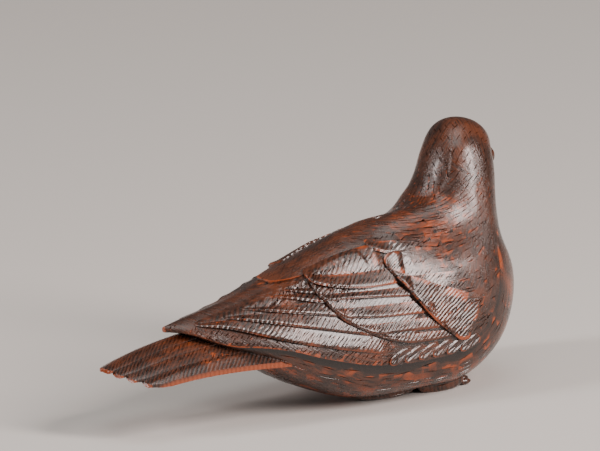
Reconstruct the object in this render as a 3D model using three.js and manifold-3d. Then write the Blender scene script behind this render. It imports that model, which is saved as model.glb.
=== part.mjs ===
// A carved boxwood netsuke: a resting pigeon that looks back over its left shoulder.
// Millimetres. +X points to the breast, +Z up, and the bird's right side is -Y.
// The origin is on the floor under the middle of the bounding box.
import * as THREE from 'three';
import { mergeVertices } from 'three/addons/utils/BufferGeometryUtils.js';
import Module from 'manifold-3d';

const wasm = await Module();
wasm.setup();

// Driving dimensions
const headTurn = THREE.MathUtils.degToRad(48);   // how far the head turns to the bird's left
const neck = { x: 22.7, low: 16.5, high: 27.5, near: 6.5, far: 14 }; // axis, heights and reach of the turn
const keelShare = 0.36;                          // share of a half section that lies under the wing's edge
const grain = 0x6a2a16;                          // stained boxwood
const eye = { radius: 1.0, forward: 2.7, up: 26.8, proud: 0.22 };
const sinkIn = 1.3;                              // how deep a feather is let into the body
const floorCut = { length: 80, depth: 10 };
const cordHole = { x: 6.2, spread: 5.2, radius: 1.45, mouth: 2.3, mouthAt: 0.8, mouthTall: 2.4 };

// Sections of the body from the wing tips to the tip of the beak. Each runs from a point of the
// underside line to a point of the back line, given in side view as [x, z].
const sections = [
  { under: [-20.2, 11.9], back: [-20.3, 12.6], half: 0.3, widest: 0.3, upper: 1.6, lower: 2, ledge: 0 },
  { under: [-17.6, 11.4], back: [-17.6, 13.1], half: 2.2, widest: 0.15, upper: 1.5, lower: 2, ledge: 0.3 },
  { under: [-14.5, 9.8], back: [-14, 13.8], half: 4.2, widest: 0.15, upper: 1.5, lower: 2, ledge: 0.5 },
  { under: [-11.2, 7.6], back: [-10.3, 14.6], half: 6, widest: 0.32, upper: 1.5, lower: 2, ledge: 0.7 },
  { under: [-7.5, 5.6], back: [-5.5, 16.2], half: 7.5, widest: 0.33, upper: 1.6, lower: 2, ledge: 0.7 },
  { under: [-2.5, 2.9], back: [-1, 17.9], half: 8.5, widest: 0.31, upper: 1.7, lower: 2.3, ledge: 0.7 },
  { under: [4.5, 0.5], back: [4.5, 19.9], half: 9.2, widest: 0.28, upper: 1.8, lower: 2.6, ledge: 0.6 },
  { under: [13, 0.3], back: [9, 21], half: 9.5, widest: 0.25, upper: 1.9, lower: 2.6, ledge: 0.5 },
  { under: [19.8, 0.5], back: [12.2, 21.9], half: 9.5, widest: 0.27, upper: 2, lower: 2.4, ledge: 0.3 },
  { under: [25.2, 3.2], back: [14.4, 22.9], half: 9.2, widest: 0.33, upper: 2, lower: 2.2, ledge: 0.1 },
  { under: [28.4, 7.2], back: [15.8, 23.8], half: 8.4, widest: 0.4, upper: 2, lower: 2, ledge: 0 },
  { under: [29.3, 12], back: [16.6, 24.9], half: 7.3, widest: 0.46, upper: 2, lower: 2, ledge: 0 },
  { under: [27.8, 16.8], back: [17.4, 26.2], half: 5.9, widest: 0.5, upper: 2, lower: 2, ledge: 0 },
  { under: [26.5, 20.1], back: [18.4, 28], half: 5.1, widest: 0.5, upper: 2, lower: 2, ledge: 0 },
  { under: [26.6, 22.4], back: [20.2, 30.1], half: 4.6, widest: 0.5, upper: 2, lower: 2.1, ledge: 0 },
  { under: [27.3, 24], back: [23.2, 31.8], half: 4.05, widest: 0.48, upper: 2, lower: 2.1, ledge: 0 },
  { under: [27.9, 25.1], back: [26.3, 31], half: 3.6, widest: 0.46, upper: 2.1, lower: 2, ledge: 0 },
  { under: [28.6, 25.8], back: [28.1, 29.1], half: 2.3, widest: 0.46, upper: 2, lower: 2, ledge: 0 },
  { under: [29.3, 25.9], back: [29.2, 27.7], half: 1.2, widest: 0.48, upper: 2, lower: 2, ledge: 0 },
  { under: [31.5, 25.6], back: [31.7, 26.1], half: 0.3, widest: 0.5, upper: 2, lower: 2, ledge: 0 },
];
const flankSections = 11;                        // the sections that carry the wings

// Feathers of the right wing, in side view. Each is a sheet between its free edge, which runs from
// the root along the lower side round the tip and back, and its axis. Rise is how proud the edge
// stands at its start, its tip and its end, and reach is how far the sheet shows.
const flights = [
  {
    edge: [[6.6, 6.95], [0.2, 8.4], [-5.6, 9.8], [-9.8, 11], [-13.2, 11.9], [-16.4, 12.4],
      [-16.9, 12.7], [-15.4, 13.15], [-12.5, 13.8], [-9, 14.9], [-5, 16.2]],
    axis: [[-16.8, 12.65], [8, 13.2]], rise: [0.3, 0.4, 0.3], reach: 2.1,
  },
  {
    edge: [[4.8, 9.35], [-1.4, 10.8], [-7.1, 12], [-11, 12.6], [-13.1, 12.9], [-13.5, 13.15],
      [-12.2, 13.5], [-9.5, 14.45], [-6.5, 15.5], [-3, 16.7]],
    axis: [[-13.4, 13.05], [8, 13.8]], rise: [0.3, 0.4, 0.3], reach: 1.9,
  },
  {
    edge: [[2.9, 11.65], [-1.5, 12.5], [-6.3, 13.2], [-9, 13.45], [-10.4, 13.6], [-10.7, 13.85],
      [-9.4, 14.2], [-7, 15], [-4, 16.1], [-1, 17.1]],
    axis: [[-10.6, 13.75], [8, 14.6]], rise: [0.3, 0.4, 0.3], reach: 1.6,
  },
  {
    edge: [[2.2, 13.35], [-1.5, 13.9], [-4.9, 14.5], [-7.5, 14.7], [-7.9, 14.95], [-6.6, 15.3],
      [-4, 16.15], [-1.5, 17]],
    axis: [[-7.8, 14.85], [8, 15.4]], rise: [0.3, 0.4, 0.3], reach: 1.3,
  },
  {
    edge: [[2.2, 14.5], [-2.1, 14.9], [-4.7, 15.2], [-5.1, 15.45], [-4, 15.8], [-2, 16.45], [0, 17.2]],
    axis: [[-5, 15.35], [6, 16]], rise: [0.3, 0.4, 0.3], reach: 1.1,
  },
];
const coverts = [
  {
    edge: [[10.5, 7.8], [9, 8.1], [6.6, 8.7], [3.3, 10.1], [0.3, 12], [-1.4, 14.5], [-1.8, 15.9],
      [-1.5, 17], [0.6, 17.8], [3.5, 18.6], [6.5, 19.1], [9, 19.3]],
    axis: [[-2, 16.5], [18, 11]], rise: [0.35, 0.5, 0.3], reach: 5.5,
  },
  {
    edge: [[16, 7.9], [12, 7.9], [9, 8.1], [6.6, 8.75], [5, 9.4], [5.4, 10.2], [9.5, 10.1]],
    axis: [[5.4, 9.3], [16, 8.8]], rise: [0.25, 0.55, 0.3], reach: 2.4,
  },
  {
    edge: [[14.5, 9.2], [11, 9.35], [8.7, 9.5], [5.5, 9.6], [3.8, 9.95], [2, 10.9], [1.2, 11.6],
      [1.6, 12.3], [6, 12.2]],
    axis: [[2.2, 11], [15, 10.6]], rise: [0.3, 0.7, 0.3], reach: 2.6,
  },
  {
    edge: [[12.5, 11.2], [8.5, 11.35], [5.3, 11.5], [2.5, 11.8], [0.8, 12], [-0.3, 12.9], [-0.9, 13.7],
      [-0.4, 14.4], [3, 14.3]],
    axis: [[-0.4, 13.1], [14, 12.7]], rise: [0.35, 0.75, 0.35], reach: 2.6,
  },
  {
    edge: [[11, 13.3], [6, 13.7], [2.5, 13.9], [0.3, 13.9], [-1, 14], [-1.55, 14.6], [-1.75, 15.3],
      [-1.2, 15.9], [2, 15.8]],
    axis: [[-1.4, 14.7], [13, 14.5]], rise: [0.35, 0.75, 0.4], reach: 2.2,
  },
  {
    edge: [[9.5, 15], [5.5, 14.85], [2.5, 15], [0, 15.3], [-1.5, 15.7], [-1.85, 16.3], [-1.4, 17.1],
      [0.8, 17.75], [3.5, 18.4], [6.5, 18.8]],
    axis: [[-1.8, 16.4], [13, 16.9]], rise: [0.4, 0.85, 0.45], reach: 3,
  },
  {
    edge: [[18.5, 7.3], [16.8, 7.3], [16, 7.7], [12.8, 10.4], [10.3, 13.6], [9.2, 15.2], [8.1, 17],
      [8.6, 18], [11, 18.6]],
    axis: [[8.4, 16.5], [22, 11.5]], rise: [0.45, 0.75, 0.35], reach: 5.5,
  },
  {
    edge: [[20.5, 7.9], [18.1, 7.5], [16.8, 7.4], [16, 7.75], [14.6, 9.1], [13.4, 10.3], [13.6, 11.4],
      [17, 11.5]],
    axis: [[14.8, 8.9], [21, 9.6]], rise: [0.3, 0.8, 0.2], reach: 2.8, fade: 0.3,
  },
  {
    edge: [[19.5, 10.8], [17.4, 10.8], [15.5, 10.4], [14.2, 10.5], [13, 10.8], [11.6, 12.2],
      [10.7, 13.5], [11, 14.4], [15, 14.4]],
    axis: [[11.8, 12.3], [20, 12.4]], rise: [0.3, 0.9, 0.2], reach: 3, fade: 0.3,
  },
  {
    edge: [[17.5, 12.9], [15, 13], [13, 13.2], [11.3, 13.4], [10.3, 13.8], [9, 15.4], [8.1, 17],
      [9, 17.9], [13, 17.9]],
    axis: [[8.9, 15.6], [18, 15.6]], rise: [0.3, 0.95, 0.2], reach: 3.4, fade: 0.3,
  },
  {
    edge: [[13, 18.6], [10.5, 18.2], [8.9, 18.2], [7.4, 18.6], [6.9, 19.2], [7.1, 19.8], [8.5, 20.3],
      [10, 20.6]],
    axis: [[7, 19.3], [14, 19.8]], rise: [0.2, 0.5, 0.1], reach: 2.4, fade: 0.3,
  },
];
const plumage = {
  spacing: 3.1, fewest: 5, lead: 0.7, cover: 1.6, backGap: 0.22, backFade: 0.7, fade: 0.05, start: -0.3,
  broad: 3, bend: 0.3, topSink: 0.04, slit: 0.14,
};

// Short feathers in a row above the wing's lower edge
const edgeRow = {
  from: [6.2, 5.9], to: [16.4, 6.1], count: 6, run: [3.2, 1.2], half: 0.65,
  rise: [0.25, 0.36, 0.05], reach: 1.5,
};

// Feathers of the back, from section to section, over a share of each half section
const back = {
  from: 3.95, to: 6.6, share: 0.17, rise: 0.35, along: 6, across: 4, tip: 0.15, widen: 2.2,
  sink: 1.3, narrow: 0.85,
};

// Tail: overlapping feathers under an arched top, the middle one longest and highest
const tail = {
  tip: -28.8, root: -6, height: 8.75, climb: 3.9, climbLength: 10, half: 5.2, flare: 1.2,
  arch: 2.1, archGain: 0.055, cutBack: 4.4, side: 3, feather: 1.3, halfFeather: 1.35, step: 0.14,
  thick: 0.9, thin: 0.55, crease: 0.06, round: 0.35, along: 6, narrow: 0.75, fuller: 3,
  settle: 0.6, under: 0.12,
};
const vent = {
  from: -19.5, to: -4, low: [8.6, 5.4], half: [2.2, 5.6], thin: 1.2, thick: 4, along: 8, around: 12,
};

// Feet, folded flat under the belly
const leg = { from: 4.3, to: 15.5, y: 3.6, height: 1.5, radius: 2, top: 0.25 };
const toes = { count: 3, spread: 1.35, from: 13.5, to: 21, radius: 1, height: 0.9, shorter: 0.6, top: 0.3 };

const names = ['half', 'widest', 'upper', 'lower', 'ledge'];

function cubic(a, b, c, d, t) {
  const out = (c - a) / 2;
  const into = (d - b) / 2;
  return b + t * (out + t * (3 * (c - b) - 2 * out - into + t * (2 * (b - c) + out + into)));
}

// One section at any place between the listed ones
function sectionAt(place) {
  const last = sections.length - 1;
  const i = Math.min(Math.max(Math.floor(place), 0), last - 1);
  const rows = [sections[Math.max(i - 1, 0)], sections[i], sections[i + 1], sections[Math.min(i + 2, last)]];
  const blend = (pick) => cubic(...rows.map(pick), place - i);
  const section = {
    under: [blend((r) => r.under[0]), blend((r) => r.under[1])],
    back: [blend((r) => r.back[0]), blend((r) => r.back[1])],
  };
  for (const name of names) section[name] = blend((r) => r[name]);
  return section;
}

const power = (value, exponent) => Math.max(value, 0) ** exponent;

// Half section: q runs from the underside line (0) to the back line (1)
function sectionPoint(section, q) {
  const { under, back, half, widest, upper, lower, ledge } = section;
  let y, h;
  if (q <= keelShare) {
    const a = q / keelShare * Math.PI / 2;
    y = (half - ledge) * power(Math.sin(a), 2 / lower);
    h = widest * (1 - power(Math.cos(a), 2 / lower));
  } else {
    const a = (q - keelShare) / (1 - keelShare) * Math.PI / 2;
    y = half * power(Math.cos(a), 2 / upper);
    h = widest + (1 - widest) * power(Math.sin(a), 2 / upper);
  }
  return [under[0] + (back[0] - under[0]) * h, y, under[1] + (back[1] - under[1]) * h];
}

// Half breadth at a place in side view, between two sections
function flankBreadth(x, z, first = 0, last = flankSections) {
  const side = (place) => {
    const { under, back } = sectionAt(place);
    return (back[0] - under[0]) * (z - under[1]) - (back[1] - under[1]) * (x - under[0]);
  };
  let low = first;
  let high = last;
  for (let i = 0; i < 40; i += 1) {
    const middle = (low + high) / 2;
    if (side(middle) > 0) high = middle;
    else low = middle;
  }
  const { under, back, half, widest, upper } = sectionAt(low);
  const run = [back[0] - under[0], back[1] - under[1]];
  const h = ((x - under[0]) * run[0] + (z - under[1]) * run[1]) / (run[0] ** 2 + run[1] ** 2);
  const share = Math.min(Math.max((h - widest) / (1 - widest), 0), 1);
  return half * power(1 - share ** upper, 1 / upper);
}

// A point on the right flank, moved out along its normal by rise
function onFlank(x, z, rise) {
  const step = 0.05;
  const y = flankBreadth(x, z);
  const slopeX = (flankBreadth(x + step, z) - flankBreadth(x - step, z)) / (2 * step);
  const slopeZ = (flankBreadth(x, z + step) - flankBreadth(x, z - step)) / (2 * step);
  const slope = [THREE.MathUtils.clamp(-slopeX, -3, 3), THREE.MathUtils.clamp(-slopeZ, -3, 3)];
  const length = Math.hypot(slope[0], 1, slope[1]);
  return new THREE.Vector3(x + slope[0] / length * rise, -(y + rise / length), z + slope[1] / length * rise);
}

// Closed solid through rings of equally many points, with its faces turned outward
function solidFromRings(rings) {
  const size = rings[0].length;
  const points = rings.flat();
  const faces = [];
  for (let i = 0; i < rings.length - 1; i += 1) {
    for (let j = 0; j < size; j += 1) {
      const a = i * size + j;
      const b = i * size + (j + 1) % size;
      faces.push([a, b, b + size], [a, b + size, a + size]);
    }
  }
  for (const [first, turn] of [[0, 1], [(rings.length - 1) * size, -1]]) {
    const middle = points.slice(first, first + size).reduce((sum, p) => sum.add(p), new THREE.Vector3());
    points.push(middle.divideScalar(size));
    const centre = points.length - 1;
    for (let j = 0; j < size; j += 1) {
      const pair = [first + j, first + (j + 1) % size];
      faces.push(turn > 0 ? [centre, pair[1], pair[0]] : [centre, pair[0], pair[1]]);
    }
  }
  let volume = 0;
  for (const [a, b, c] of faces) {
    volume += points[a].dot(new THREE.Vector3().crossVectors(points[b], points[c]));
  }
  const geometry = new THREE.BufferGeometry().setFromPoints(points);
  geometry.setIndex((volume > 0 ? faces : faces.map(([a, b, c]) => [a, c, b])).flat());
  return geometry;
}

function toSolid(geometry) {
  const bare = geometry.clone();
  bare.deleteAttribute('normal');
  bare.deleteAttribute('uv');
  const merged = mergeVertices(bare, 1e-5);
  return new wasm.Manifold(new wasm.Mesh({
    numProp: 3,
    vertProperties: new Float32Array(merged.attributes.position.array),
    triVerts: new Uint32Array(merged.index.array),
  }));
}

function mirrored(geometry) {
  const copy = geometry.clone();
  const position = copy.attributes.position;
  for (let i = 0; i < position.count; i += 1) position.setY(i, -position.getY(i));
  copy.setIndex(Array.from(copy.index.array).reverse());
  return copy;
}

const joined = (geometries) => geometries.map(toSolid).reduce((sum, solid) => sum.add(solid));

// Body, neck, head and beak in one loft, closed round both sides
function bodyLoft() {
  const perSection = 2;
  const lowerSteps = 3;
  const upperSteps = 7;
  const shares = [];
  for (let i = 0; i <= lowerSteps; i += 1) shares.push(keelShare * i / lowerSteps);
  for (let i = 0; i <= upperSteps; i += 1) {
    shares.push(keelShare + (1 - keelShare) * Math.max(i / upperSteps, 1e-4));
  }
  const rings = [];
  for (let i = 0; i <= (sections.length - 1) * perSection; i += 1) {
    const section = sectionAt(i / perSection);
    const half = shares.map((q) => sectionPoint(section, q));
    const left = half.slice(1, -1).reverse();
    rings.push([
      ...half.map(([x, y, z]) => new THREE.Vector3(x, -y, z)),
      ...left.map(([x, y, z]) => new THREE.Vector3(x, y, z)),
    ]);
  }
  return solidFromRings(rings);
}

// Height of the back line over a place, less a small gap
function backLine(x) {
  const row = sections.slice(0, flankSections + 1).map((section) => section.back);
  const next = Math.max(1, row.findIndex(([at]) => at > x));
  const [low, high] = [row[next - 1], row[next]];
  return THREE.MathUtils.mapLinear(x, low[0], high[0], low[1], high[1]) - plumage.backGap;
}

// How proud a free edge stands at a share of its length
function edgeRise(share, [first, middle, last], fade) {
  if (share > 0.5) return edgeRise(1 - share, [last, middle, first], fade);
  if (share < fade) return THREE.MathUtils.lerp(plumage.start, first, share / fade);
  return THREE.MathUtils.mapLinear(share, fade, 0.5, first, middle);
}

// One feather: a sheet let into the flank, proud at its free edge and sunk at its axis
function feather({ edge, axis, rise, reach, fade = plumage.fade }) {
  const along = edge.map(([x, z]) => new THREE.Vector3(x, 0, z));
  const curve = new THREE.CatmullRomCurve3(along, false, 'catmullrom');
  const count = Math.max(plumage.fewest, Math.round(curve.getLength() / plumage.spacing));
  const [tip, root] = axis.map(([x, z]) => new THREE.Vector3(x, 0, z));
  const way = root.clone().sub(tip).normalize();
  const rings = curve.getSpacedPoints(count).map((outer, i) => {
    const ahead = outer.clone().sub(tip).dot(way) + plumage.lead;
    const onAxis = tip.clone().addScaledVector(way, THREE.MathUtils.clamp(ahead, 0.05, root.distanceTo(tip)));
    const inward = onAxis.sub(outer);
    const room = Math.min(inward.length() - plumage.slit, plumage.cover * reach);
    inward.setLength(room);
    const stand = edgeRise(i / count, rise, fade);
    const place = (t, sunk) => {
      const { x, z } = outer.clone().addScaledVector(inward, t);
      const top = THREE.MathUtils.clamp((backLine(x) - z) / plumage.backFade, 0, 1);
      const proud = stand * (1 - t * room / reach) * top - plumage.topSink * (1 - top);
      return onFlank(x, Math.min(z, backLine(x)), sunk ? -sinkIn : proud);
    };
    const across = reach > plumage.broad ? [0, plumage.bend, 1] : [0, 1];
    return [...across.map((t) => place(t, false)), place(1, true), place(0, true)];
  });
  return solidFromRings(rings);
}

// Free edge of a small feather with a round tip
function lobeEdge(tip, run, half) {
  const side = [run[1] / Math.hypot(...run) * half, -run[0] / Math.hypot(...run) * half];
  const places = [[1, 1], [0.5, 1], [0.16, 0.8], [0, 0], [0.16, -0.8], [0.5, -1], [1, -1]];
  return places.map(([along, across]) => [0, 1].map((k) => tip[k] + run[k] * along + side[k] * across));
}

function rowFeathers() {
  const { from, to, count, run, half, rise, reach } = edgeRow;
  return Array.from({ length: count }, (_, i) => {
    const tip = [0, 1].map((k) => THREE.MathUtils.lerp(from[k], to[k], i / (count - 1)));
    return { edge: lobeEdge(tip, run, half), axis: [tip, [tip[0] + run[0], tip[1] + run[1]]], rise, reach };
  });
}

// Back feathers that end in a rounded edge over both wings
function mantle() {
  const rings = [];
  for (let i = 0; i <= back.along; i += 1) {
    const t = i / back.along;
    const section = sectionAt(back.from + (back.to - back.from) * t);
    const wide = back.share * Math.sqrt(1 - (1 - Math.min(back.tip + back.widen * t, 1)) ** 2);
    const top = [];
    const bottom = [];
    for (let j = -back.across; j <= back.across; j += 1) {
      const v = j / back.across;
      const [x, y, z] = sectionPoint(section, 1 - wide * Math.abs(v));
      const side = Math.sign(v);
      const rise = back.rise * (1 - back.sink * t);
      top.push(new THREE.Vector3(x, side * (y + rise * 0.5 * Math.abs(v)), z + rise));
      bottom.unshift(new THREE.Vector3(x, side * y * back.narrow, z - sinkIn));
    }
    rings.push([...top, ...bottom]);
  }
  return solidFromRings(rings);
}

// Height of the tail's arched top
function tailTop(x, y) {
  const share = Math.abs(y) / tail.half;
  const ridge = tail.height + tail.climb * (1 - Math.exp(-(x - tail.tip) / tail.climbLength));
  return ridge - (tail.arch + tail.archGain * (x - tail.tip)) * share ** 1.4;
}

function tailFeather(index) {
  const middle = index * tail.feather;
  const below = Math.abs(index) * tail.step;
  const rings = [];
  for (let i = 0; i <= tail.along; i += 1) {
    const t = (i / tail.along) ** 1.5;
    const thick = tail.thick * Math.min(1, tail.thin + tail.fuller * t);
    const top = [];
    const bottom = [];
    for (let j = 0; j <= 4; j += 1) {
      const v = j / 2 - 1;
      const round = Math.min(1, tail.narrow + tail.fuller * t);
      const flare = 1 + (tail.flare / tail.half) * t;
      const y = (middle + tail.halfFeather * v * round) * flare;
      const tipBack = tail.cutBack * (Math.abs(middle) / tail.half) ** 1.5 + tail.round * v * v * (1 - t);
      const x = tail.tip + tipBack + (tail.root - tail.tip - tipBack) * t;
      const z = tailTop(x, y) - below * (1 - tail.settle * t);
      top.push(new THREE.Vector3(x, y, z - tail.crease * v * v));
      bottom.unshift(new THREE.Vector3(x, y, z - thick + tail.under * v * v));
    }
    rings.push([...top, ...bottom]);
  }
  return solidFromRings(rings);
}

// Soft feathers under the root of the tail
function ventSwell() {
  const rings = [];
  for (let i = 0; i <= vent.along; i += 1) {
    const t = i / vent.along;
    const x = vent.from + (vent.to - vent.from) * t;
    const half = vent.half[0] + (vent.half[1] - vent.half[0]) * Math.sqrt(t);
    const low = vent.low[0] + (vent.low[1] - vent.low[0]) * t ** 1.3;
    const tall = vent.thin + vent.thick * t;
    const ring = [];
    for (let j = 0; j < vent.around; j += 1) {
      const a = 2 * Math.PI * j / vent.around;
      ring.push(new THREE.Vector3(x, half * Math.sin(a), low + tall * (1 - Math.cos(a)) / 2));
    }
    rings.push(ring);
  }
  return solidFromRings(rings);
}

function ellipsoid([x, y, z], [a, b, c]) {
  return new THREE.SphereGeometry(1, 10, 7).rotateX(Math.PI / 2).scale(a, b, c).translate(x, y, z);
}

function foot() {
  const middle = (leg.from + leg.to) / 2;
  const shank = [(leg.to - leg.from) / 2, leg.radius, leg.height + leg.top];
  const parts = [ellipsoid([middle, -leg.y, leg.height], shank)];
  for (let i = 0; i < toes.count; i += 1) {
    const y = -leg.y + (i - 1) * toes.spread;
    const reach = i === 1 ? 0 : toes.shorter;
    const half = (toes.to - toes.from - reach) / 2;
    const place = [toes.from + half, y, toes.height];
    parts.push(ellipsoid(place, [half, toes.radius, toes.height + toes.top]));
  }
  return parts;
}

// Cord passage: a curved tunnel with a wider mouth behind
function cordPassage() {
  const tunnel = new THREE.TorusGeometry(cordHole.spread, cordHole.radius, 8, 20);
  tunnel.rotateX(Math.PI / 2).translate(cordHole.x, 0, 0);
  const place = [cordHole.x - cordHole.spread, 0, cordHole.mouthAt];
  const mouth = ellipsoid(place, [cordHole.mouth, cordHole.mouth, cordHole.mouthTall]);
  return [tunnel, mouth];
}

// The neck twists between its two heights, and the back behind it stays straight
function turnNeck(point) {
  const x = point.x - neck.x;
  const share = THREE.MathUtils.smoothstep(point.z, neck.low, neck.high);
  const angle = headTurn * share * (1 - THREE.MathUtils.smoothstep(-x, neck.near, neck.far));
  return new THREE.Vector3(
    neck.x + x * Math.cos(angle) - point.y * Math.sin(angle),
    x * Math.sin(angle) + point.y * Math.cos(angle),
    point.z,
  );
}

function eyes() {
  const x = neck.x + eye.forward;
  const breadth = flankBreadth(x, eye.up, flankSections, sections.length - 1);
  const place = [x, eye.radius * 0.5 - eye.proud - breadth, eye.up];
  return [ellipsoid(place, [eye.radius, eye.radius * 0.5, eye.radius])];
}

function carving() {
  const right = [...[...flights, ...coverts, ...rowFeathers()].map(feather), ...foot(), ...eyes()];
  const both = [...right, ...right.map(mirrored)];
  const tailFeathers = [];
  for (let i = tail.side; i >= 1; i -= 1) tailFeathers.push(tailFeather(i), tailFeather(-i));
  tailFeathers.push(tailFeather(0));
  const floor = new THREE.BoxGeometry(floorCut.length, floorCut.length, floorCut.depth);
  floor.translate(0, 0, -floorCut.depth / 2);
  const solid = joined([bodyLoft(), mantle(), ...both, ...tailFeathers, ventSwell()])
    .subtract(joined(cordPassage()))
    .subtract(toSolid(floor));
  // Apart from the carving itself there are only crumbs under the feathers
  const pieces = solid.decompose().sort((a, b) => b.volume() - a.volume());
  const mesh = pieces[0].getMesh();
  const points = [];
  for (let i = 0; i < mesh.vertProperties.length; i += 3) {
    points.push(turnNeck(new THREE.Vector3(...mesh.vertProperties.slice(i, i + 3))));
  }
  const geometry = new THREE.BufferGeometry().setFromPoints(points);
  geometry.setIndex(Array.from(mesh.triVerts));
  geometry.computeBoundingBox();
  const { min, max } = geometry.boundingBox;
  geometry.translate(-(min.x + max.x) / 2, -(min.y + max.y) / 2, -min.z);
  geometry.computeVertexNormals();
  return geometry;
}

const wood = new THREE.MeshStandardMaterial({ color: grain, roughness: 0.35, metalness: 0 });
const pigeon = new THREE.Mesh(carving(), wood);
pigeon.name = 'carved_pigeon';

const netsuke = new THREE.Group();
netsuke.add(pigeon);

export default netsuke;
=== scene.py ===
import math
import random
import bpy
import numpy as np
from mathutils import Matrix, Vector
from mathutils.bvhtree import BVHTree


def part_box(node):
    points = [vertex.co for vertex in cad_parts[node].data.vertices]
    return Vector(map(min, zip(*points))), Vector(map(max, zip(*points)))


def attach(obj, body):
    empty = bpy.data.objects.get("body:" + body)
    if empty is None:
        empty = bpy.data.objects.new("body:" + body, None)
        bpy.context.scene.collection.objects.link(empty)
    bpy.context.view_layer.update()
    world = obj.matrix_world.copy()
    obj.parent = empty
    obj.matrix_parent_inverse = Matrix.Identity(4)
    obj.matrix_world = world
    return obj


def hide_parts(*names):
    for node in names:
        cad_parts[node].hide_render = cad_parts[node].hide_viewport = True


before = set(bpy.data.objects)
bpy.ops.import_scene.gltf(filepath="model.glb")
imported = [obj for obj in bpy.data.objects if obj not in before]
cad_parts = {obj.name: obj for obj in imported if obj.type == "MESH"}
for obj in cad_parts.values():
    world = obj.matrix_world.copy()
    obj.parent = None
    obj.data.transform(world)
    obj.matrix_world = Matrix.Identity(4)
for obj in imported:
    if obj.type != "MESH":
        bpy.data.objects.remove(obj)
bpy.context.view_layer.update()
random.seed(7)
mm = 0.001  # the carving is laid out in millimetres

# The whole carving
carving = {
    "headTurn": 48.0,  # degrees, to the bird's left
    "neckX": 22.7, "neckLow": 16.5, "neckHigh": 27.5, "neckNear": 6.5, "neckFar": 14.0,
    "keelShare": 0.36,  # share of a half section that lies under the wing's edge
    "sinkIn": 1.3,  # how deep a feather is let into the body
    "flankSections": 11.0,
    "sharpAngle": 38.0,
}

# Sections of the body, wing tips to beak: under x, under z, back x, back z, half breadth,
# height share of the widest place, upper and lower roundness, ledge under the wing
sections = np.array([
    (-20.2, 11.9, -20.3, 12.6, 0.3, 0.3, 1.6, 2.0, 0.0),
    (-17.6, 11.4, -17.6, 13.1, 2.2, 0.15, 1.5, 2.0, 0.3),
    (-14.5, 9.8, -14.0, 13.8, 4.2, 0.15, 1.5, 2.0, 0.5),
    (-11.2, 7.6, -10.3, 14.6, 6.0, 0.32, 1.5, 2.0, 0.7),
    (-7.5, 5.6, -5.5, 16.2, 7.5, 0.33, 1.6, 2.0, 0.7),
    (-2.5, 2.9, -1.0, 17.9, 8.5, 0.31, 1.7, 2.3, 0.7),
    (4.5, 0.5, 4.5, 19.9, 9.2, 0.28, 1.8, 2.6, 0.6),
    (13.0, 0.3, 9.0, 21.0, 9.5, 0.25, 1.9, 2.6, 0.5),
    (19.8, 0.5, 12.2, 21.9, 9.5, 0.27, 2.0, 2.4, 0.3),
    (25.2, 3.2, 14.4, 22.9, 9.2, 0.33, 2.0, 2.2, 0.1),
    (28.4, 7.2, 15.8, 23.8, 8.4, 0.4, 2.0, 2.0, 0.0),
    (29.3, 12.0, 16.6, 24.9, 7.3, 0.46, 2.0, 2.0, 0.0),
    (27.8, 16.8, 17.4, 26.2, 5.9, 0.5, 2.0, 2.0, 0.0),
    (26.5, 20.1, 18.4, 28.0, 5.1, 0.5, 2.0, 2.0, 0.0),
    (26.6, 22.4, 20.2, 30.1, 4.6, 0.5, 2.0, 2.1, 0.0),
    (27.3, 24.0, 23.2, 31.8, 4.05, 0.48, 2.0, 2.1, 0.0),
    (27.9, 25.1, 26.3, 31.0, 3.6, 0.46, 2.1, 2.0, 0.0),
    (28.6, 25.8, 28.1, 29.1, 2.3, 0.46, 2.0, 2.0, 0.0),
    (29.3, 25.9, 29.2, 27.7, 1.2, 0.48, 2.0, 2.0, 0.0),
    (31.5, 25.6, 31.7, 26.1, 0.3, 0.5, 2.0, 2.0, 0.0),
])


def sectionAt(place):
    place = np.asarray(place, dtype=float)
    last = len(sections) - 1
    i = np.clip(np.floor(place).astype(int), 0, last - 1)
    t = (place - i)[..., None]
    a, b = sections[np.maximum(i - 1, 0)], sections[i]
    c, d = sections[i + 1], sections[np.minimum(i + 2, last)]
    out, into = (c - a) / 2, (d - b) / 2
    return b + t * (out + t * (3 * (c - b) - 2 * out - into + t * (2 * (b - c) + out + into)))


def sectionPoint(place, q):
    # q runs from the underside line (0) to the back line (1)
    row = sectionAt(place)
    ux, uz, bx, bz, half, widest, upper, lower, ledge = np.moveaxis(row, -1, 0)
    share = carving["keelShare"]
    low = np.clip(q / share, 0, 1) * np.pi / 2
    high = np.clip((q - share) / (1 - share), 0, 1) * np.pi / 2
    yLow = (half - ledge) * np.sin(low) ** (2 / lower)
    hLow = widest * (1 - np.maximum(np.cos(low), 0) ** (2 / lower))
    yHigh = half * np.maximum(np.cos(high), 0) ** (2 / upper)
    hHigh = widest + (1 - widest) * np.sin(high) ** (2 / upper)
    y = np.where(q <= share, yLow, yHigh)
    h = np.where(q <= share, hLow, hHigh)
    return np.stack([ux + (bx - ux) * h, y + 0 * h, uz + (bz - uz) * h], axis=-1)


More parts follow.
